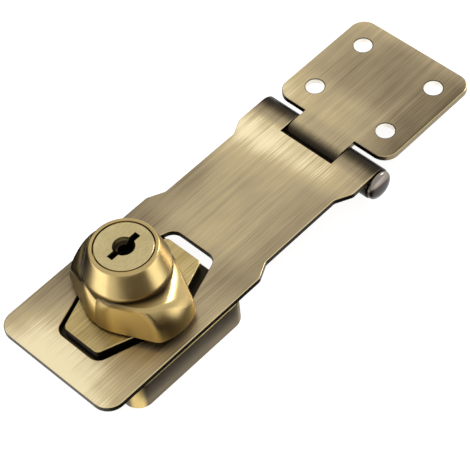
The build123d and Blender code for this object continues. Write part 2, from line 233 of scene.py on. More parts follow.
@dataclass(frozen=True)
class BrushedAntiqueBrass:
    """Antique brass plate on steel sheet: blackened, then brushed along the strap.

    The brush bares warm pale brass on the flats and leaves dark patina on the cut sides and
    in the rolled knuckles, both deepened with painted shade. The flats are painted lighter at
    the ends than in the middle. The eye sees fine lines along X, slow bands of painted light
    and shade, and a thin painted highlight on the near edges.
    """

    name: str
    # Where along X the patina and painted shade of the rolled knuckle start and are full.
    bend_mm: Pair
    # Painted light and shade along X and across Y: places in mm and levels.
    along: Tuple[Pair, ...]
    across: Tuple[Pair, ...]
    # Round spots of painted highlight, strength above 0, and painted shade, strength below 0:
    # X, Y, reach and strength.
    painted_light_spots_mm: Tuple[Tuple[float, float, float, float], ...]
    tones: Tuple[str, ...] = ("#4E4434", "#685C47", "#8A7B60", "#A99979", "#C3B087", "#F5E5BB")
    places: Tuple[float, ...] = (0.0, 0.15, 0.36, 0.6, 0.8, 1.0)
    # Dark patina of the cut sides, deepened as painted shade; also the colour of the painted shade
    # at grazing angles and round the holes.
    patina: str = "#2B2519"
    # Colour of the cut sides that face -Y; the leaf's lighter one is painted light.
    near_side: str = "#2B2519"
    # A thin painted highlight, partly wear, on the rounded near edges.
    rim: str = "#D8C795"
    roughness: float = 0.36
    rough_spread: Pair = (-0.07, 0.09)
    # Sizes along X, Y and Z. Brush lines are about 0.1 mm wide. They are drawn 0.25 mm wide,
    # because a pixel of the photograph's view covers 0.27 mm and finer ones wouldn't show.
    line_mm: Triple = (24.0, 0.25, 0.25)
    band_mm: Triple = (60.0, 1.5, 1.5)
    patch_mm: Triple = (20.0, 12.5, 20.0)
    line_depth: float = 0.74
    band_depth: float = 0.24
    patch_depth: float = 0.36
    bump: float = 0.10
    # The surface's direction tells the near side by its Y, and cut sides and rims by its Z.
    near_y: Pair = (-0.1, -0.35)
    side_z: Pair = (0.35, 0.95)
    near_side_z: float = 0.64
    rim_z: Tuple[Pair, ...] = ((0.6, 0.0), (0.8, 0.7), (0.93, 0.7), (0.995, 0.0))
    # Near-black patina with painted shade in the rolled knuckle, and how strongly it covers.
    bend: str = "#191511"
    bend_depth: float = 0.93
    pierced: str = "#F6F2E8"
    # Four holes: the pattern's centre, half its width along X and Y, and their radius. The
    # wall reaches a little past the radius, and the ring of painted shade fades between two
    # reaches.
    holes_mm: Tuple[float, float, float, float, float] = (0.0, 0.0, 0.0, 0.0, -1.0)
    hole_wall_mm: float = 0.06
    hole_ring_mm: Pair = (0.22, 0.34)
    hole_ring: float = 0.85
    # Level from which the spots' distance is measured, about that of the sheets' tops.
    top_mm: float = 10.0
    # Painted shade at grazing angles: the facing span over which it grows, and its strength.
    grazing_span: Pair = (0.62, 0.95)
    grazing: float = 0.45

    def level(self, tree: Tree, value: Socket, stops: Tuple[Pair, ...]) -> Socket:
        """Turn a place in metres into a slow change of tone given at a few places in mm."""
        # The levels are painted light and shade laid into the colour.
        low, high = stops[0][0], stops[-1][0]
        share = add_node(tree, "MapRange", inputs={
            "Value": value, "From Min": low * MM, "From Max": high * MM})
        tone = add_node(tree, "ValToRGB", EASE, {0: share}, [
            ((x - low) / (high - low), grey(v)) for x, v in stops])
        return tone.outputs[0]

    def brushed_face(self, tree: Tree, place: Socket, split: Node) -> Tuple[Socket, Socket]:
        """Make the brushed tone of the flats.

        The tone is the sum of painted light and shade levels along X and across Y, three noises
        (fine lines, wide bands and patches) and round spots of painted highlight and shade, run
        through the row of tones.

        Args:
            tree: Node tree that takes the nodes.
            place: Object coordinates.
            split: The same, split in X, Y and Z.

        Returns:
            The colour and the fine lines.
        """
        lines = drawn_noise(tree, place, self.line_mm, 3.0, 0.7)
        bands = drawn_noise(tree, place, self.band_mm, 2.0, 0.5, (3.1, 1.7, 0.4))
        patches = drawn_noise(tree, place, self.patch_mm, 2.0, 0.55, (7.3, 2.2, 0.0))
        total = add_node(tree, "Math", ADD, {
            0: self.level(tree, split.outputs["X"], self.along),
            1: self.level(tree, split.outputs["Y"], self.across)})
        for noise, depth in ((lines, self.line_depth), (bands, self.band_depth),
                             (patches, self.patch_depth)):
            part = add_node(tree, "Math", MULTIPLY_ADD, {0: noise, 1: depth, 2: -depth / 2})
            total = add_node(tree, "Math", ADD, {0: total, 1: part})
        # Each spot lays in a painted highlight where its strength is above 0 and a painted shade
        # where it is below 0.
        for x, y, reach_mm, strength in self.painted_light_spots_mm:
            gap = add_node(tree, "VectorMath", {"operation": "DISTANCE"}, {
                0: place, 1: (x * MM, y * MM, self.top_mm * MM)})
            spot = add_node(tree, "MapRange", SMOOTHSTEP, {
                "Value": gap.outputs["Value"], "From Min": reach_mm * MM, "From Max": 0.0,
                "To Max": strength})
            total = add_node(tree, "Math", ADD, {0: total, 1: spot})
        total = add_node(tree, "Math", {"operation": "SUBTRACT", "use_clamp": True}, {
            0: total, 1: 0.5})
        face = add_node(tree, "ValToRGB", LINEAR, {0: total}, [
            (p, srgb(c)) for p, c in zip(self.places, self.tones)])
        return face.outputs[0], lines

    def dark_edges(self, tree: Tree, face: Socket, turned: Node,
                   split: Node) -> Tuple[Socket, Socket]:
        """Leave patina with painted shade on the cut sides and the rolled knuckle, and a thin
        painted highlight on the near rim.

        Args:
            tree: Node tree that takes the nodes.
            face: Colour of the flats.
            turned: The surface's direction, split in X, Y and Z.
            split: The object coordinates, split in X, Y and Z.

        Returns:
            The colour, and 1 on the cut sides.
        """
        upright = add_node(tree, "Math", ABSOLUTE, {0: turned.outputs["Z"]})
        near = add_node(tree, "MapRange", inputs={
            "Value": turned.outputs["Y"], "From Min": self.near_y[0], "From Max": self.near_y[1]})
        edge_end = add_node(tree, "Math", MULTIPLY_ADD, {
            0: near, 1: self.near_side_z - self.side_z[1], 2: self.side_z[1]})
        side = add_node(tree, "MapRange", inputs={
            "Value": upright, "From Min": self.side_z[0],
            "From Max": edge_end, "To Min": 1.0, "To Max": 0.0}).outputs[0]
        wear_and_sheen = add_node(tree, "ValToRGB", EASE, {0: upright}, [
            (z, grey(share)) for z, share in self.rim_z])
        rolled = add_node(tree, "MapRange", SMOOTHSTEP, {
            "Value": split.outputs["X"], "From Min": self.bend_mm[0] * MM,
            "From Max": self.bend_mm[1] * MM, "To Min": 0.0, "To Max": 1.0})
        # Sides facing -Y take near_side, painted light on the leaf; the others take the patina
        # with painted shade.
        cut = add_node(tree, "Mix", RGBA, {0: near, 6: srgb(self.patina), 7: srgb(self.near_side)})
        dark = add_node(tree, "Mix", RGBA, {0: side, 6: face, 7: cut.outputs[2]})
        # The rim is a painted highlight on the edges that face -Y, kept off the rolled knuckle.
        plain = add_node(tree, "Math", SUBTRACT, {0: 1.0, 1: rolled})
        rim = add_node(tree, "Math", MULTIPLY, {0: wear_and_sheen, 1: plain})
        rim = add_node(tree, "Math", MULTIPLY, {0: rim, 1: near})
        edge = add_node(tree, "Mix", RGBA, {0: rim, 6: dark.outputs[2], 7: srgb(self.rim)})
        # The rolled knuckle darkens with patina and painted shade.
        bend = add_node(tree, "Math", MULTIPLY, {0: rolled, 1: self.bend_depth})
        edge = add_node(tree, "Mix", RGBA, {0: bend, 6: edge.outputs[2], 7: srgb(self.bend)})
        return edge.outputs[2], side

    def pierced_holes(self, tree: Tree, edge: Socket, place: Socket, side: Socket) -> Socket:
        """Draw a dark ring round each of the four holes and bare its wall.

        Folding the plane twice about the pattern's centre turns the four holes into one,
        whose distance gives the ring of painted shade and the wall.

        Args:
            tree: Node tree that takes the nodes.
            edge: Colour so far.
            place: Object coordinates.
            side: 1 on the cut sides.

        Returns:
            The colour.
        """
        centre_x, centre_y, half_x, half_y, radius = self.holes_mm
        folded: Any = place
        for step, by in ((SUBTRACT, (centre_x * MM, centre_y * MM, 0.0)),
                         (ABSOLUTE, (0.0, 0.0, 0.0)),
                         (SUBTRACT, (half_x * MM, half_y * MM, 0.0)),
                         (MULTIPLY, (1.0, 1.0, 0.0))):
            folded = add_node(tree, "VectorMath", step, {0: folded, 1: by})
        reach = add_node(tree, "VectorMath", {"operation": "LENGTH"}, {0: folded})
        inside = add_node(tree, "Math", {"operation": "LESS_THAN"}, {
            0: reach.outputs["Value"], 1: (radius + self.hole_wall_mm) * MM})
        bare = add_node(tree, "Math", MULTIPLY, {0: inside, 1: side})
        ring = add_node(tree, "MapRange", inputs={
            "Value": reach.outputs["Value"], "From Min": (radius + self.hole_ring_mm[0]) * MM,
            "From Max": (radius + self.hole_ring_mm[1]) * MM, "To Min": self.hole_ring,
            "To Max": 0.0})
        dark = add_node(tree, "Mix", RGBA, {0: ring, 6: edge, 7: srgb(self.patina)})
        pale = add_node(tree, "Mix", RGBA, {0: bare, 6: dark.outputs[2], 7: srgb(self.pierced)})
        return pale.outputs[2]

    def build(self) -> Material:
        """Make the material.

        Returns:
            Metal with brush lines along X, broad patina patches, slow painted light and shade, and
            sides darkened with patina and painted shade.
        """
        material, tree = new_material(self.name)
        coords = add_node(tree, "TexCoord")
        place = coords.outputs["Object"]
        split = add_node(tree, "SeparateXYZ", inputs={0: place})
        turned = add_node(tree, "SeparateXYZ", inputs={0: coords.outputs["Normal"]})
        face, lines = self.brushed_face(tree, place, split)
        edge, side = self.dark_edges(tree, face, turned, split)
        edge = grazing_shade(tree, edge, self.patina, self)
        edge = self.pierced_holes(tree, edge, place, side)
        finish_metal(tree, edge, lines, self)
        return material


@dataclass(frozen=True)
class TurnedMetal:
    """Plain turned brass or zinc-plated steel, as on the pieces inside the lock.

    It mirrors the studio softly and shows a fine grain along the turning axis.
    """

    name: str
    bright: str
    shade: str
    roughness: float = 0.3
    rough_spread: Pair = (-0.04, 0.06)
    # Turning marks are about 0.1 mm apart. They are drawn 0.5 mm apart, so that they show.
    grain_mm: Triple = (0.5, 0.5, 5.0)
    slow_mm: float = 9.0
    bump: float = 0.05
    contrast: float = 0.5

    def build(self) -> Material:
        """Make the material.

        Returns:
            Metal with a fine stretched grain and a slow change of tone.
        """
        material, tree = new_material(self.name)
        place = add_node(tree, "TexCoord").outputs["Object"]
        fine = drawn_noise(tree, place, self.grain_mm, 3.0, 0.6)
        slow = add_node(tree, "TexNoise", inputs={
            "Vector": place, "Scale": 1 / (self.slow_mm * MM), "Detail": 2.0, "Roughness": 0.5})
        tone = add_node(tree, "Math", MULTIPLY_ADD, {
            0: fine, 1: self.contrast, 2: 0.5 - self.contrast / 2})
        tone = add_node(tree, "Math", {"operation": "MULTIPLY_ADD", "use_clamp": True}, {
            0: slow.outputs["Fac"], 1: 0.5, 2: tone})
        colour = add_node(tree, "ValToRGB", LINEAR, {0: tone}, [
            (0.35, srgb(self.shade)), (0.95, srgb(self.bright))])
        finish_metal(tree, colour.outputs[0], fine, self)
        return material


@dataclass(frozen=True)
class CastAntiqueBrass:
    """Antique brass plate on a zinc casting, relieved by hand.

    Polished warm brass on the raised faces, with a painted reflection on the rounded upright
    corners. Darker on steep sides, under the wings and round the collar's foot: painted shade,
    partly patina where the buff can't reach.
    """

    name: str
    bright: str
    shade: str
    roughness: float
    # Steep sides take darker tones, which are painted shade, and upright corners the corner tone,
    # a painted reflection.
    side_bright: str = "#B39C6A"
    side_shade: str = "#7C6A45"
    corner: str = "#DCC07C"
    recess_shade: str = "#2A241A"
    # The painted shade, partly patina, lies between a floor and a level, out to a radius,
    # and fades at each.
    recess_z_mm: Pair = (-2.0, -1.0)
    recess_floor_mm: Pair = (-2.0, -1.0)
    recess_r_mm: Pair = (1000.0, 1001.0)
    rough_spread: Pair = (-0.015, 0.02)
    # The buff's grain is finer than 0.1 mm. It is drawn 0.3 mm wide, and the filed lines of
    # the sides 0.22 mm, because a pixel of the photograph's view covers 0.27 mm.
    grain_mm: Triple = (0.9, 0.3, 0.3)
    side_line_mm: Triple = (14.0, 14.0, 0.22)
    slow_mm: float = 7.0
    bump: float = 0.015
    contrast: float = 0.1
    # A steep side's direction has a small Z, and a corner's a large X times Y.
    side_z: Pair = (0.14, 0.26)
    corner_xy: Pair = (0.22, 0.46)
    # Painted shade at grazing angles: the facing span over which it grows, and its strength.
    grazing_span: Pair = (0.45, 0.9)
    grazing: float = 0.8
    side_rougher: float = 0.12

    def relieved(self, tree: Tree, tone: Socket, side: Socket, normal: Node) -> Socket:
        """Give tops and steep sides their own tones, and brighten the upright corners.

        A corner is where a side looks neither along X nor along Y. The sides' darker tones
        are painted shade, and the corners' tone is a painted reflection.

        Args:
            tree: Node tree that takes the nodes.
            tone: Pattern from 0, shade, to 1, bright.
            side: 1 on the steep sides.
            normal: The surface's direction, split in X, Y and Z.

        Returns:
            The colour.
        """
        face = add_node(tree, "ValToRGB", LINEAR, {0: tone}, [
            (0.2, srgb(self.shade)), (0.8, srgb(self.bright))])
        wall = add_node(tree, "ValToRGB", LINEAR, {0: tone}, [
            (0.2, srgb(self.side_shade)), (0.8, srgb(self.side_bright))])
        both = add_node(tree, "Mix", RGBA, {0: side, 6: face, 7: wall})
        across = add_node(tree, "Math", MULTIPLY, {0: normal.outputs["X"], 1: normal.outputs["Y"]})
        across = add_node(tree, "Math", ABSOLUTE, {0: across})
        turned = add_node(tree, "ValToRGB", EASE, {0: across}, [
            (self.corner_xy[0], grey(0.0)), (self.corner_xy[1], grey(1.0))])
        wear_and_sheen = add_node(tree, "Math", MULTIPLY, {0: side, 1: turned})
        wear_and_sheen = add_node(tree, "Mix", RGBA, {0: wear_and_sheen, 6: both.outputs[2], 7: srgb(self.corner)})
        return wear_and_sheen.outputs[2]

    def recessed(self, tree: Tree, colour: Socket, place: Socket) -> Socket:
        """Leave painted shade, partly patina, between two levels, as far out from the axis as
        recess_r_mm.

        Args:
            tree: Node tree that takes the nodes.
            colour: Colour so far.
            place: Object coordinates.

        Returns:
            The colour.
        """
        level = add_node(tree, "SeparateXYZ", inputs={0: place})
        flat = add_node(tree, "CombineXYZ", inputs={0: level.outputs["X"], 1: level.outputs["Y"]})
        radius = add_node(tree, "VectorMath", {"operation": "LENGTH"}, {0: flat})
        share: Optional[Socket] = None
        for value, (start, end), low, high in (
                (level.outputs["Z"], self.recess_z_mm, 1.0, 0.0),
                (radius.outputs["Value"], self.recess_r_mm, 1.0, 0.0),
                (level.outputs["Z"], self.recess_floor_mm, 0.0, 1.0)):
            limit = add_node(tree, "MapRange", inputs={
                "Value": value, "From Min": start * MM, "From Max": end * MM,
                "To Min": low, "To Max": high}).outputs[0]
            if share is not None:
                limit = add_node(tree, "Math", MULTIPLY, {0: share, 1: limit}).outputs[0]
            share = limit
        mix = add_node(tree, "Mix", RGBA, {0: share, 6: colour, 7: srgb(self.recess_shade)})
        return mix.outputs[2]

    def build(self) -> Material:
        """Make the material.

        Returns:
            Metal with its own tone for tops, sides, corners and recesses: painted shade on the
            sides, painted shade and patina in the recesses, and a painted reflection on the
            corners.
        """
        material, tree = new_material(self.name)
        coords = add_node(tree, "TexCoord")
        place = coords.outputs["Object"]
        grain = drawn_noise(tree, place, self.grain_mm, 3.0, 0.6)
        lines = drawn_noise(tree, place, self.side_line_mm, 3.0, 0.7)
        slow = add_node(tree, "TexNoise", inputs={
            "Vector": place, "Scale": 1 / (self.slow_mm * MM), "Detail": 2.0, "Roughness": 0.5})
        normal = add_node(tree, "SeparateXYZ", inputs={0: coords.outputs["Normal"]})
        upright = add_node(tree, "Math", ABSOLUTE, {0: normal.outputs["Z"]})
        side = add_node(tree, "ValToRGB", EASE, {0: upright}, [
            (self.side_z[0], grey(1.0)), (self.side_z[1], grey(0.0))]).outputs[0]
        pattern = add_node(tree, "Mix", inputs={0: side, 2: grain, 3: lines}).outputs[0]
        tone = add_node(tree, "Math", MULTIPLY_ADD, {
            0: pattern, 1: self.contrast * 2, 2: 0.25 - self.contrast})
        tone = add_node(tree, "Math", {"operation": "MULTIPLY_ADD", "use_clamp": True}, {
            0: slow.outputs["Fac"], 1: 0.5, 2: tone})
        colour = self.relieved(tree, tone.outputs[0], side, normal)
        colour = self.recessed(tree, colour, place)
        colour = grazing_shade(tree, colour, self.recess_shade, self)
        finish_metal(tree, colour, pattern, self, duller=side)
        return material


def grid_faces(grid: Array) -> Arrays:
    """Turn a grid of points that closes round an axis into points and four-sided faces.

    Args:
        grid: Points by row and column. The last row joins the first.

    Returns:
        Points in one list, and faces that look outwards where rows run anticlockwise
        round +Z and columns run up the outside.
    """
    rows, columns = grid.shape[:2]
    index = np.arange(rows * columns).reshape(rows, columns)
    following = np.roll(index, -1, axis=0)
    faces = np.stack([index[:, :-1], following[:, :-1], following[:, 1:], index[:, 1:]], axis=-1)
    return grid.reshape(-1, 3), faces.reshape(-1, 4)


def new_piece(name: str, points: Array, faces: Sequence[Sequence[int]],
              material: Material, sharp_deg: float) -> bpy.types.Object:
    """Make one smooth-shaded mesh object at the origin.

    Args:
        name: Name of the piece.
        points: Its points in metres.
        faces: Its faces.
        material: Its material.
        sharp_deg: Angle above which an edge stays crisp.

    Returns:
        The object.
    """
    mesh = bpy.data.meshes.new(name)
    mesh.from_pydata(points.tolist(), [], faces)
    mesh.materials.append(material)
    mesh.shade_smooth()
    mesh.set_sharp_from_angle(angle=float(np.radians(sharp_deg)))
    piece = bpy.data.objects.new(name, mesh)
    bpy.context.scene.collection.objects.link(piece)
    log.info("made %s: %d points, %d faces", name, len(mesh.vertices), len(mesh.polygons))
    return piece


def dress(node: str, material: Material) -> None:
    """Give a CAD node one material.

    Args:
        node: Name of the CAD node.
        material: Material that it gets.
    """
    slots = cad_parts[node].data.materials
    slots.clear()
    slots.append(material)
    log.info("dressed %s in %s", node, material.name)


@dataclass
class SheetParts:
    """The two pressed sheets: slotted strap and hinged leaf."""

    # On both sheets the levels along and across and the spots are painted light and shade: slow
    # bands of light, a highlight by the hinge, and lighter and darker patches at the edges.
    strap_finish: BrushedAntiqueBrass = BrushedAntiqueBrass(
        name="antique_brass_strap_brushed", bend_mm=(62.5, 67.2),
        along=((-27.0, 1.04), (-22.0, 0.92), (-15.0, 0.77), (0.0, 0.58), (18.0, 0.54),
               (25.0, 0.63), (33.0, 0.59), (42.0, 0.59), (49.0, 0.6), (56.0, 0.82),
               (60.0, 0.78), (63.0, 0.5), (66.0, 0.2)),
        across=((-19.0, 0.36), (-14.0, 0.41), (-7.0, 0.5), (0.0, 0.58), (8.0, 0.54),
                (14.0, 0.35), (19.0, 0.28)),
        painted_light_spots_mm=((52.0, 18.0, 19.0, 0.42), (2.0, 20.0, 24.0, -0.2), (8.0, -18.0, 14.0, 0.24)))
    # The leaf's lighter near sides are painted light.
    leaf_finish: BrushedAntiqueBrass = BrushedAntiqueBrass(
        name="antique_brass_leaf_brushed", near_side="#85785E", bend_mm=(66.2, 62.8),
        holes_mm=(86.65, 0.0, 9.35, 11.75, 2.4),
        along=((65.0, 0.62), (68.0, 0.62), (71.0, 0.72), (77.0, 0.65), (84.0, 0.46),
               (92.0, 0.42), (99.0, 0.46), (104.0, 0.62)),
        across=((-19.0, 0.26), (-14.0, 0.32), (-7.0, 0.46), (4.0, 0.52), (10.0, 0.56),
                (19.0, 0.66)),
        painted_light_spots_mm=((74.0, -18.0, 14.0, -0.22),))

    def build(self) -> None:
        """Dress the strap and the leaf."""
        dress("strap", self.strap_finish.build())
        dress("hinge_leaf", self.leaf_finish.build())


@dataclass
class HingePin:
    """Hinge pin, in millimetres, with one domed head on the near side.

    Its far end is plain, and the far knuckle hides it.
    """

    # Light face tones and dark side tones paint a highlight and shade on the domed head.
    finish: CastAntiqueBrass = CastAntiqueBrass(
        name="dark_bronze_pin", bright="#9A9188", shade="#756D66", side_bright="#4A433E",
        side_shade="#3A3430", corner="#4A433E", recess_shade="#1E1A17", roughness=0.34, contrast=0.1,
        side_rougher=0.0, grazing=0.7)
    axis_x: float = 65.4
    axis_z: float = 5.8
    shank_r: float = 2.62
    head_r: float = 3.9
    head_y: float = -19.3
    head_end_y: float = -21.2
    far_y: float = 19.1
    rim: float = 0.45
    chamfer: float = 0.4
    head_edge: float = 0.12
    root_r: float = 0.1
    root_y: float = 0.01
    closing_r: float = 0.0005
    steps_round: int = 96
    steps_crown: int = 15

    def profile(self) -> Array:
        """Lay out radius and place along Y, from the far end to the head's crown.

        Returns:
            Rows of radius and Y in mm. The crown is half an ellipse on a short straight rim.
        """
        t = np.linspace(0, np.pi / 2, self.steps_crown)
        rim_y = self.head_y - self.rim
        crown = np.column_stack([
            self.head_r * np.cos(t), rim_y + (self.head_end_y - rim_y) * np.sin(t)])
        crown[-1, 0] = self.closing_r
        shank = np.array([
            [self.closing_r, self.far_y], [self.shank_r - self.chamfer, self.far_y],
            [self.shank_r, self.far_y - self.chamfer], [self.shank_r, self.head_y + self.root_y],
            [self.shank_r + self.root_r, self.head_y],
            [self.head_r - self.head_edge, self.head_y],
            [self.head_r, self.head_y - self.head_edge]])
        return np.concatenate([shank, crown])

    def build(self) -> None:
        """Turn the profile round the pin's axis and put it in place of the CAD pin."""
        profile = self.profile()
        angle = np.linspace(0, 2 * np.pi, self.steps_round, endpoint=False)[:, None]
        grid = np.stack([self.axis_x + profile[:, 0] * np.cos(angle), profile[:, 1] + 0 * angle,
                         self.axis_z + profile[:, 0] * np.sin(angle)], axis=2) * MM
        points, faces = grid_faces(grid)
        piece = new_piece("hinge_pin_headed", points, faces.tolist(), self.finish.build(),
                          sharp_deg=40.0)
        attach(piece, "base")
        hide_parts("hinge_pin")


@dataclass
class BaseCasting:
    """Cast base block with its boss."""

    # The base's darker sides and dark boss walls are painted shade, and its golden upright corners
    # a painted reflection.
    finish: CastAntiqueBrass = CastAntiqueBrass(
        name="antique_brass_base_brushed", bright="#D6C088", shade="#96814F", roughness=0.34,
        side_bright="#8A7B60", side_shade="#5E533E", corner="#E6CB86", contrast=0.5,
        grain_mm=(18.0, 0.3, 0.3), recess_z_mm=(10.8, 11.05), recess_floor_mm=(8.25, 8.45))

    def build(self) -> None:
        """Dress the base."""
        dress("base_housing", self.finish.build())


@dataclass
class KnobCasting:
    """The winged knob's casting as one smooth surface, with its neck from the CAD solid.

    All lengths in millimetres. The near wing lies between -180 and 0 degrees round the
    axis, and the far wing is its half-turn copy.
    """

    finish: CastAntiqueBrass
    under_z: float = 11.8
    neck_r: float = 9.0
    flat_r: float = 12.1
    flat_deg: float = 24.6
    tip_centre_y: float = -3.9
    tip_r: float = 12.9
    plan_blend: float = 0.8
    lean_deg: float = 6.5
    # The tip's inward curve: its strength, and the height above the underside where it starts.
    tip_curve: float = 0.034
    tip_curve_from: float = 3.0
    # The low side of the wing leans in more, fully so from the second angle on.
    low_side_lean: float = 0.10
    low_side_deg: Pair = (-113.0, -66.0)
    ledge_z: float = 21.85
    valley: float = 1.15
    valley_falls_deg: Pair = (-130.0, -65.0)
    valley_rises_deg: Pair = (-62.0, -25.0)
    # The facet is a plane: a point on it, and its slope along X and along Y.
    facet_point: Triple = (0.8, -13.4, 20.8)
    facet_slope: Pair = (-0.8005, 0.9468)
    facet_blend: float = 2.2
    edge_r: float = 0.4
    tip_edge_r: float = 0.4
    tip_from_deg: Pair = (-135.0, -115.0)
    tip_to_deg: Pair = (-50.0, -25.0)
    under_edge_r: float = 0.25
    foot_r: float = 10.5
    foot_z: float = 23.0
    lip_r: float = 8.25
    lip: float = 0.5
    bore_r: float = 7.33
    bore_edge: float = 0.12
    top_z: float = 29.6
    # Rays that find the wing's section start this far from the axis and above its underside.
    ray_r: float = 8.0
    ray_rise: float = 0.25
    ray_reach: float = 16.0
    halvings: int = 34
    steps_round: int = 540
    steps_up: int = 84

    @staticmethod
    def ease(value: Array) -> Array:
        """Rise smoothly from 0 to 1 as the value does."""
        value = np.clip(value, 0.0, 1.0)
        return value * value * (3 - 2 * value)

    @staticmethod
    def soft_min(a: Array, b: Array, width: float) -> Array:
        """Lesser of two surfaces, blended where they lie within the width of each other."""
        near = np.clip(0.5 + 0.5 * (b - a) / width, 0.0, 1.0)
        return b * (1 - near) + a * near - width * near * (1 - near)

    def span(self, turn: Array, starts: Pair, ends: Pair) -> Array:
        """Give 1 between two angles and 0 elsewhere, easing over the degrees given at each.

        Args:
            turn: Angle round the axis in radians.
            starts: Degrees over which it rises.
            ends: Degrees over which it falls.

        Returns:
            Share from 0 to 1.
        """
        deg = np.degrees(turn)
        rise = self.ease((deg - starts[0]) / (starts[1] - starts[0]))
        return rise * (1 - self.ease((deg - ends[0]) / (ends[1] - ends[0])))

    def wall(self, turn: Array, z: Array) -> Array:
        """Give the side wall's distance from the axis.

        The plan is a circle with two tangent flats on each side, cut by an arc at the
        tip. All lean inwards going up, and the tip curves in as the square of the height.

        Args:
            turn: Angle round the axis in radians, from -pi to 0.
            z: Level in mm.

        Returns:
            Distance in mm.
        """
        rise = np.maximum(z - self.under_z, 0.0)
        lean = rise * np.tan(np.radians(self.lean_deg))
        from_x = np.minimum(-turn, np.pi + turn)
        past = np.maximum(from_x - np.radians(self.flat_deg), 0.0)
        flat = (self.flat_r - lean) / np.cos(past)
        start, full = self.low_side_deg
        low_side = self.ease((turn - np.radians(start)) / np.radians(full - start))
        inset = (lean + self.tip_curve * np.maximum(rise - self.tip_curve_from, 0.0) ** 2
                 + self.low_side_lean * rise * low_side)
        along = np.sin(turn) * self.tip_centre_y
        radius = self.tip_r - inset
        # The 0.01 keeps the root real at heights above the wing.
        tip = along + np.sqrt(np.maximum(along ** 2 + radius ** 2 - self.tip_centre_y ** 2, 0.01))
        return self.soft_min(flat, tip, self.plan_blend)

    def top(self, turn: Array, r: Array) -> Array:
        """Give the wing's top level: a ledge with a shallow valley, cut by a sloped facet.

        Args:
            turn: Angle round the axis in radians, from -pi to 0.
            r: Distance from the axis in mm.

        Returns:
            Level in mm.
        """
        valley = self.span(turn, self.valley_falls_deg, self.valley_rises_deg)
        ledge = self.ledge_z - self.valley * valley + 0 * r
        x = r * np.cos(turn)
        y = r * np.sin(turn)
        point_x, point_y, point_z = self.facet_point
        slope_x, slope_y = self.facet_slope
        facet = point_z + slope_x * (x - point_x) + slope_y * (y - point_y)
        return self.soft_min(ledge, facet, self.facet_blend)

    def ray_angles(self, turn: Array, edge: Array) -> Array:
        """Fan out the rays of each section, closer together round its upper edge.

        Args:
            turn: Column of angles in radians, from -pi to 0.
            edge: Edge radius at each of them in mm.

        Returns:
            Slopes of the rays in radians, one row for each angle.
        """
        r0 = self.ray_r
        z0 = self.under_z + self.ray_rise
        rim_r = self.wall(turn, np.full_like(turn, 20.5))
        # The rim lies where wall and top meet. Six rounds from a level near it settle it.
        for _ in range(6):
            rim_z = self.top(turn, rim_r)
            rim_r = self.wall(turn, rim_z)
        corner = np.arctan2(rim_z - z0, rim_r - r0)
        last = np.arctan2(self.top(turn, np.full_like(turn, self.foot_r)) - z0, self.foot_r - r0)
        half = 1.1 * edge / np.hypot(rim_z - z0, rim_r - r0)
        upper = np.minimum(corner + half, 0.4 * corner + 0.6 * last)
        t = np.linspace(0, 1, self.steps_up)
        # 30% of the rays go up the wall, 45% round the edge and 25% over the top.
        knots = np.array([0.0, 0.3, 0.75, 1.0])
        angles = np.concatenate([0 * corner, corner - half, upper, last], axis=1)
        part = np.clip(np.searchsorted(knots, t, side="right") - 1, 0, 2)
        share = (t - knots[part]) / (knots[part + 1] - knots[part])
        return angles[:, part] * (1 - share) + angles[:, part + 1] * share

    def wing(self, turn: Array) -> Arrays:
        """Find the wing's rounded section at each angle.

        Rays fan out from a point inside each section, and halving finds where they leave
        the solid. The solid is the wall and the top met in a round edge.

        Args:
            turn: Column of angles in radians, from -pi to 0.

        Returns:
            Distances from the axis and levels, one row for each angle.
        """
        r0 = self.ray_r
        z0 = self.under_z + self.ray_rise
        edge = self.edge_r + self.tip_edge_r * self.span(turn, self.tip_from_deg, self.tip_to_deg)
        alpha = self.ray_angles(turn, edge)
        low = np.zeros_like(alpha)
        high = np.full_like(alpha, self.ray_reach)
        for _ in range(self.halvings):
            mid = (low + high) / 2
            r = r0 + mid * np.cos(alpha)
            z = z0 + mid * np.sin(alpha)
            a = r - self.wall(turn, z)
            b = z - self.top(turn, r)
            inside = np.minimum(np.maximum(a, b), -edge) + np.hypot(
                np.maximum(a + edge, 0.0), np.maximum(b + edge, 0.0))
            low = np.where(inside < 0, mid, low)
            high = np.where(inside < 0, high, mid)
        return r0 + low * np.cos(alpha), z0 + low * np.sin(alpha)

    def underside(self, turn: Array, start_r: Array, start_z: Array) -> Arrays:
        """Lay out the flat underside and the round edge up to the wing's first points.

        Args:
            turn: Column of angles in radians, from -pi to 0.
            start_r: Distance of the wing's first point at each of them.
            start_z: Its level.

        Returns:
            Distances from the axis and levels.
        """
        foot = self.wall(turn, np.ones_like(turn) * self.under_z)
        t = np.linspace(0, 1, 5)[None, :]
        flat_r = self.neck_r * (1 - t) + (foot - 0.3) * t
        flat_z = np.ones_like(turn) * self.under_z + 0 * t
        bend = np.radians(np.array([[-60.0, -35.0, -15.0]]))
        arc_r = start_r - self.under_edge_r * (1 - np.cos(bend))
        arc_z = start_z + self.under_edge_r * np.sin(bend)
        return np.concatenate([flat_r, arc_r], axis=1), np.concatenate([flat_z, arc_z], axis=1)

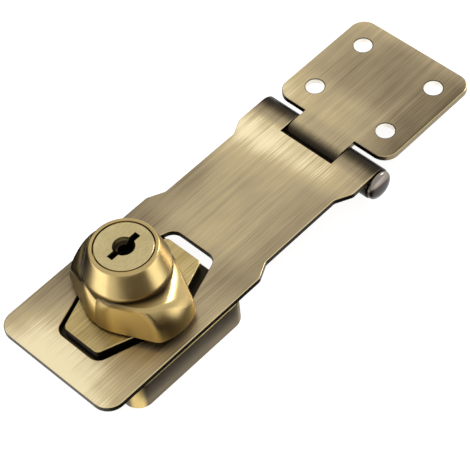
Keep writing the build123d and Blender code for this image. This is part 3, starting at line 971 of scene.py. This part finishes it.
    def collar(self, ones: Array, start_z: Array) -> Arrays:
        """Lay out the collar: a short upright foot, the cone, its rounded lip and the bore.

        The lip is a curve pulled towards the corner where the cone meets the top.

        Args:
            ones: Column of ones, one for each angle.
            start_z: Level of the wing's last point at each angle.

        Returns:
            Distances from the axis and levels.
        """
        foot_t = np.linspace(0.12, 1, 5)[None, :]
        foot_r = self.foot_r * ones + 0 * foot_t
        foot_z = start_z * (1 - foot_t) + self.foot_z * foot_t
        slope = np.array([self.lip_r - self.foot_r, self.top_z - self.foot_z])
        slope = slope / np.hypot(*slope)
        lip_start_r = self.lip_r - slope[0] * self.lip
        lip_start_z = self.top_z - slope[1] * self.lip
        cone_t = np.linspace(0.08, 1, 9)[None, :]
        cone_r = ones * (self.foot_r * (1 - cone_t) + lip_start_r * cone_t)
        cone_z = ones * (self.foot_z * (1 - cone_t) + lip_start_z * cone_t)
        bend = np.linspace(0, 1, 7)[None, 1:]
        keep = (1 - bend) ** 2
        pull = 2 * bend * (1 - bend)
        lip_r = ones * (keep * lip_start_r + pull * self.lip_r
                        + bend ** 2 * (self.lip_r - self.lip * 0.8))
        lip_z = ones * (keep * lip_start_z + (pull + bend ** 2) * self.top_z)
        bore_r = ones * np.array([
            [self.bore_r + self.bore_edge, self.bore_r + 0.04, self.bore_r] + [self.bore_r] * 4])
        bore_z = ones * np.array([[self.top_z, self.top_z - 0.03, self.top_z - self.bore_edge,
                                   28.6, 27.0, 20.0, self.under_z]])
        return (np.concatenate([foot_r, cone_r, lip_r, bore_r], axis=1),
                np.concatenate([foot_z, cone_z, lip_z, bore_z], axis=1))

    def surface(self) -> Array:
        """Lay out the whole skin from the neck round the wing and collar into the bore.

        Returns:
            Points in metres, one row for each angle and one column for each step.
        """
        theta = np.linspace(-np.pi, np.pi, self.steps_round, endpoint=False)[:, None]
        turn = np.where(theta < 0, theta, theta - np.pi)
        wing_r, wing_z = self.wing(turn)
        under_r, under_z = self.underside(turn, wing_r[:, :1], wing_z[:, :1])
        collar_r, collar_z = self.collar(np.ones_like(theta), wing_z[:, -1:])
        r = np.concatenate([under_r, wing_r, collar_r], axis=1)
        z = np.concatenate([under_z, wing_z, collar_z], axis=1)
        return np.stack([r * np.cos(theta), r * np.sin(theta), z], axis=2) * MM

    def neck(self) -> Tuple[Array, List[List[int]]]:
        """Take the part of the CAD knob below the wings from a merged copy.

        Returns:
            Its points in metres and its faces.
        """
        work = bmesh.new()
        work.from_mesh(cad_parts["knob"].data)
        bmesh.ops.remove_doubles(work, verts=work.verts, dist=1e-6)
        bmesh.ops.bisect_plane(
            work, geom=work.verts[:] + work.edges[:] + work.faces[:], dist=1e-7,
            plane_co=(0, 0, self.under_z * MM - 1e-5), plane_no=(0, 0, 1), clear_outer=True)
        work.verts.index_update()
        points = np.array([v.co[:] for v in work.verts])
        faces = [[v.index for v in f.verts] for f in work.faces]
        work.free()
        return points, faces

    def build(self) -> None:
        """Make the casting and put it in place of the CAD knob."""
        points, faces = grid_faces(self.surface())
        neck_points, neck_faces = self.neck()
        shifted = [[i + len(points) for i in face] for face in neck_faces]
        piece = new_piece("knob_casting", np.concatenate([points, neck_points]),
                          faces.tolist() + shifted, self.finish.build(), sharp_deg=38.0)
        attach(piece, "knob")
        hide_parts("knob")


@dataclass
class KnobParts:
    """Knob casting, cylinder and what turns in it."""

    # The knob's darker sides are painted shade, the dark round the collar's foot is painted shade
    # and patina, and its corners carry a painted reflection.
    casting: CastAntiqueBrass = CastAntiqueBrass(
        name="antique_brass_knob_satin", bright="#C6B17C", shade="#9C8452",
        side_bright="#AA9058", side_shade="#7A6439", roughness=0.29, recess_z_mm=(22.2, 23.2),
        recess_r_mm=(10.7, 12.6), recess_floor_mm=(20.1, 20.8), recess_shade="#544732")
    # The plug darkens below its face inside a radius of 6.9 mm, down the keyway: painted shade.
    face: CastAntiqueBrass = CastAntiqueBrass(
        name="satin_brass_plug", bright="#D2C392", shade="#A89668", roughness=0.3, contrast=0.3,
        recess_z_mm=(28.6, 29.45), recess_r_mm=(6.9, 6.95))
    brass: TurnedMetal = TurnedMetal(name="turned_brass", bright="#DDBE72", shade="#A88540")
    steel: TurnedMetal = TurnedMetal(name="zinc_plated_steel", bright="#C9CACB", shade="#8E9092")
    wafers: int = 5

    def build(self) -> None:
        """Dress the knob, the cylinder and the pieces under the base."""
        KnobCasting(self.casting).build()
        dress("plug", self.face.build())
        brass = self.brass.build()
        steel = self.steel.build()
        numbers = range(1, self.wafers + 1)
        for node in ["cylinder_shell"] + [f"wafer_{i}" for i in numbers]:
            dress(node, brass)
        for node in ["stop_pin", "neck_washer", "snap_ring", "tail_cam", "locking_bolt"] + [
                f"wafer_spring_{i}" for i in numbers]:
            dress(node, steel)


@dataclass(frozen=True)
class Lamp:
    """Soft square lamp: its place and side in metres, its power, and if gloss mirrors it."""

    name: str
    place: Triple
    side: float
    watts: float
    mirrored: bool


@dataclass(frozen=True)
class Panel:
    """Dark card or bright reflector in metres, flat or standing across Y."""

    name: str
    tone: str
    glow: float
    centre: Triple
    size: Pair
    stand: Stand = Stand.FLAT


@dataclass
class Studio:
    """White floor, soft lamps, dark cards, reflectors and the photograph's camera."""

    camera_m: Triple = (-0.152018, -0.209051, 0.356282)
    camera_turn: Triple = (0.663135, 0.069243, -0.815415)
    lens_mm: float = 140.47
    aim_m: Triple = (0.03, 0.0, 0.0)
    floor_m: float = 4.0
    floor_z_m: float = -0.0001
    floor_glow: float = 0.88
    world_level: float = 0.75
    # The knob's left side would mirror the first lamp twice, so gloss doesn't see it.
    lamps: Tuple[Lamp, ...] = (
        Lamp("key", (-0.25, 0.5, 0.9), 0.5, 4.0, mirrored=False),
        Lamp("crest", (0.86, -0.13, 0.49), 0.22, 5.0, mirrored=True))
    panels: Tuple[Panel, ...] = (
        Panel("front_card", "#3A2610", 0.0, (-0.074, -0.134, 0.0006), (0.172, 0.192)),
        Panel("near_card", "#140E08", 0.0, (0.014, -0.033, 0.0008), (0.096, 0.024)),
        Panel("crevice_card", "#1C140C", 0.0, (-0.005, 0.075, 0.0008), (0.09, 0.09)),
        Panel("far_card", "#1C140C", 0.0, (-0.01, 0.19, 0.055), (0.26, 0.11), Stand.UPRIGHT),
        Panel("left_reflector", "#FFFFFF", 1.7, (-0.105, 0.045, 0.0006), (0.11, 0.09)),
        Panel("right_reflector", "#FFFFFF", 1.7, (0.085, -0.095, 0.0006), (0.13, 0.095)))

    def camera(self) -> None:
        """Make the camera and use it."""
        data = bpy.data.cameras.new("camera")
        data.lens = self.lens_mm
        data.sensor_width = 36.0
        data.sensor_fit = "HORIZONTAL"
        data.clip_start = 0.01
        data.clip_end = 20.0
        eye = bpy.data.objects.new("camera", data)
        eye.location = self.camera_m
        eye.rotation_mode = "XYZ"
        eye.rotation_euler = self.camera_turn
        bpy.context.scene.collection.objects.link(eye)
        bpy.context.scene.camera = eye

    def sheet(self, name: str, centre: Sequence[float], size: Pair,
              material: Material, stand: Stand = Stand.FLAT) -> bpy.types.Object:
        """Make one rectangle of the stage, lying flat or standing across Y.

        Args:
            name: Name of the object.
            centre: Its middle.
            size: Length along X, and along Y or Z.
            material: Its material.
            stand: Whether it lies flat or stands across Y.

        Returns:
            The stage object.
        """
        half = np.array([[-1, -1], [1, -1], [1, 1], [-1, 1]]) * np.array(size) / 2
        wide, deep = half[:, 0], half[:, 1]
        columns = [wide, deep, np.zeros(4)] if stand is Stand.FLAT else [wide, np.zeros(4), deep]
        corners = np.column_stack(columns) + np.array(centre)
        mesh = bpy.data.meshes.new(name)
        mesh.from_pydata(corners.tolist(), [], [(0, 1, 2, 3)])
        mesh.materials.append(material)
        piece = bpy.data.objects.new(name, mesh)
        bpy.context.scene.collection.objects.link(piece)
        return piece

    def floor(self) -> None:
        """Lay the white floor, which glows for the eye and keeps its shadow."""
        material, tree = new_material("white_studio_floor")
        glow = add_node(tree, "Math", MULTIPLY, {0: seen_by_eye(tree), 1: self.floor_glow})
        shader = add_node(tree, "BsdfPrincipled", inputs={
            "Base Color": grey(0.3), "Roughness": 0.9, "Specular IOR Level": 0.0,
            "Emission Color": grey(1.0), "Emission Strength": glow})
        add_node(tree, "OutputMaterial", inputs={0: shader})
        self.sheet("floor", (0.0, 0.0, self.floor_z_m), (self.floor_m, self.floor_m), material)

    def world(self) -> None:
        """Make the surroundings: white to the eye and in reflections, softer as light."""
        world = bpy.data.worlds.new("studio")
        bpy.context.scene.world = world
        world.use_nodes = True
        tree = world.node_tree
        tree.nodes.clear()
        level = add_node(tree, "MapRange", inputs={
            "Value": seen_by_eye(tree), "To Min": self.world_level, "To Max": 1.0})
        light = add_node(tree, "Background", inputs={"Color": grey(1.0), "Strength": level})
        add_node(tree, "OutputWorld", inputs={0: light})

    def lights(self) -> None:
        """Hang the soft square lamps, each turned to the lock."""
        for lamp in self.lamps:
            data = bpy.data.lights.new(lamp.name, "AREA")
            data.shape = "SQUARE"
            data.size = lamp.side
            data.energy = lamp.watts
            away = np.array(lamp.place) - np.array(self.aim_m)
            flat = float(np.hypot(away[0], away[1]))
            hung = bpy.data.objects.new(lamp.name, data)
            hung.location = lamp.place
            hung.rotation_euler = (float(np.arctan2(flat, away[2])), 0.0,
                                   float(np.arctan2(away[1], away[0]) + np.pi / 2))
            hung.visible_glossy = lamp.mirrored
            bpy.context.scene.collection.objects.link(hung)

    def cards(self) -> None:
        """Set dark cards and bright reflectors, which only the lock's reflections see."""
        for panel in self.panels:
            material, tree = new_material(panel.name + "_surface")
            shader = add_node(tree, "BsdfPrincipled", inputs={
                "Base Color": srgb(panel.tone), "Roughness": 1.0, "Specular IOR Level": 0.0,
                "Emission Color": srgb(panel.tone), "Emission Strength": panel.glow})
            add_node(tree, "OutputMaterial", inputs={0: shader})
            card = self.sheet(panel.name, panel.centre, panel.size, material, panel.stand)
            card.visible_camera = False
            card.visible_diffuse = False
            card.visible_shadow = False

    def build(self) -> None:
        """Set the stage."""
        self.camera()
        self.floor()
        self.world()
        self.lights()
        self.cards()
        bpy.context.scene.view_settings.view_transform = "Standard"
        log.info("stage set")


def main() -> None:
    """Build the looks of the lock, group by group."""
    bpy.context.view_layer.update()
    for group in (Studio(), SheetParts(), HingePin(), BaseCasting(), KnobParts()):
        group.build()


if __name__ == "__main__":
    main()
